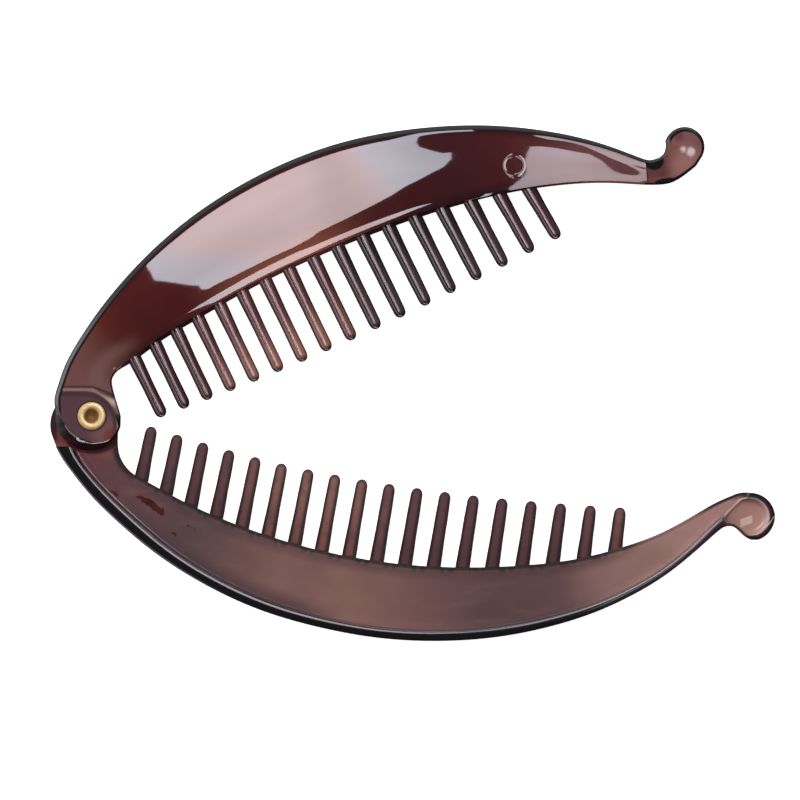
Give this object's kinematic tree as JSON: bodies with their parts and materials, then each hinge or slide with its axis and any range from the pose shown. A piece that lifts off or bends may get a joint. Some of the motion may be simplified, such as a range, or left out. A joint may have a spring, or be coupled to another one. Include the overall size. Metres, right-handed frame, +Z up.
{
  "type": "banana hair clip",
  "caption": "Banana hair clip lying open: curved comb arms with long round-tipped teeth and hooked tails, riveted together so that they close round a ponytail.",
  "frame": {"origin": "centre of the open clip's outline, on the surface it lies on", "axes": "+X from the hinge towards the hooked tails, +Y from the lower arm in the picture to the upper arm, +Z up off the surface"},
  "size_m": [0.1487, 0.1058, 0.005],
  "materials": {
    "glossy_brown_plastic": "glossy, dark red-brown, slightly see-through where thin",
    "matt_brown_plastic": "the same plastic seen on its satin back face",
    "polished_brass": "bright rolled end with a darker hole"
  },
  "bodies": {
    "lower_half": {"lower_arm": "matt_brown_plastic", "hinge_rivet": "polished_brass"},
    "upper_half": {"upper_arm": "glossy_brown_plastic"}
  },
  "joints": [
    {"name": "hinge", "type": "hinge", "parent": "lower_half", "child": "upper_half", "pos_m": [-0.0657, -0.0068, 0.0025], "axis": [0, 0, 1], "range_deg": [-28.5, 24]}
  ]
}
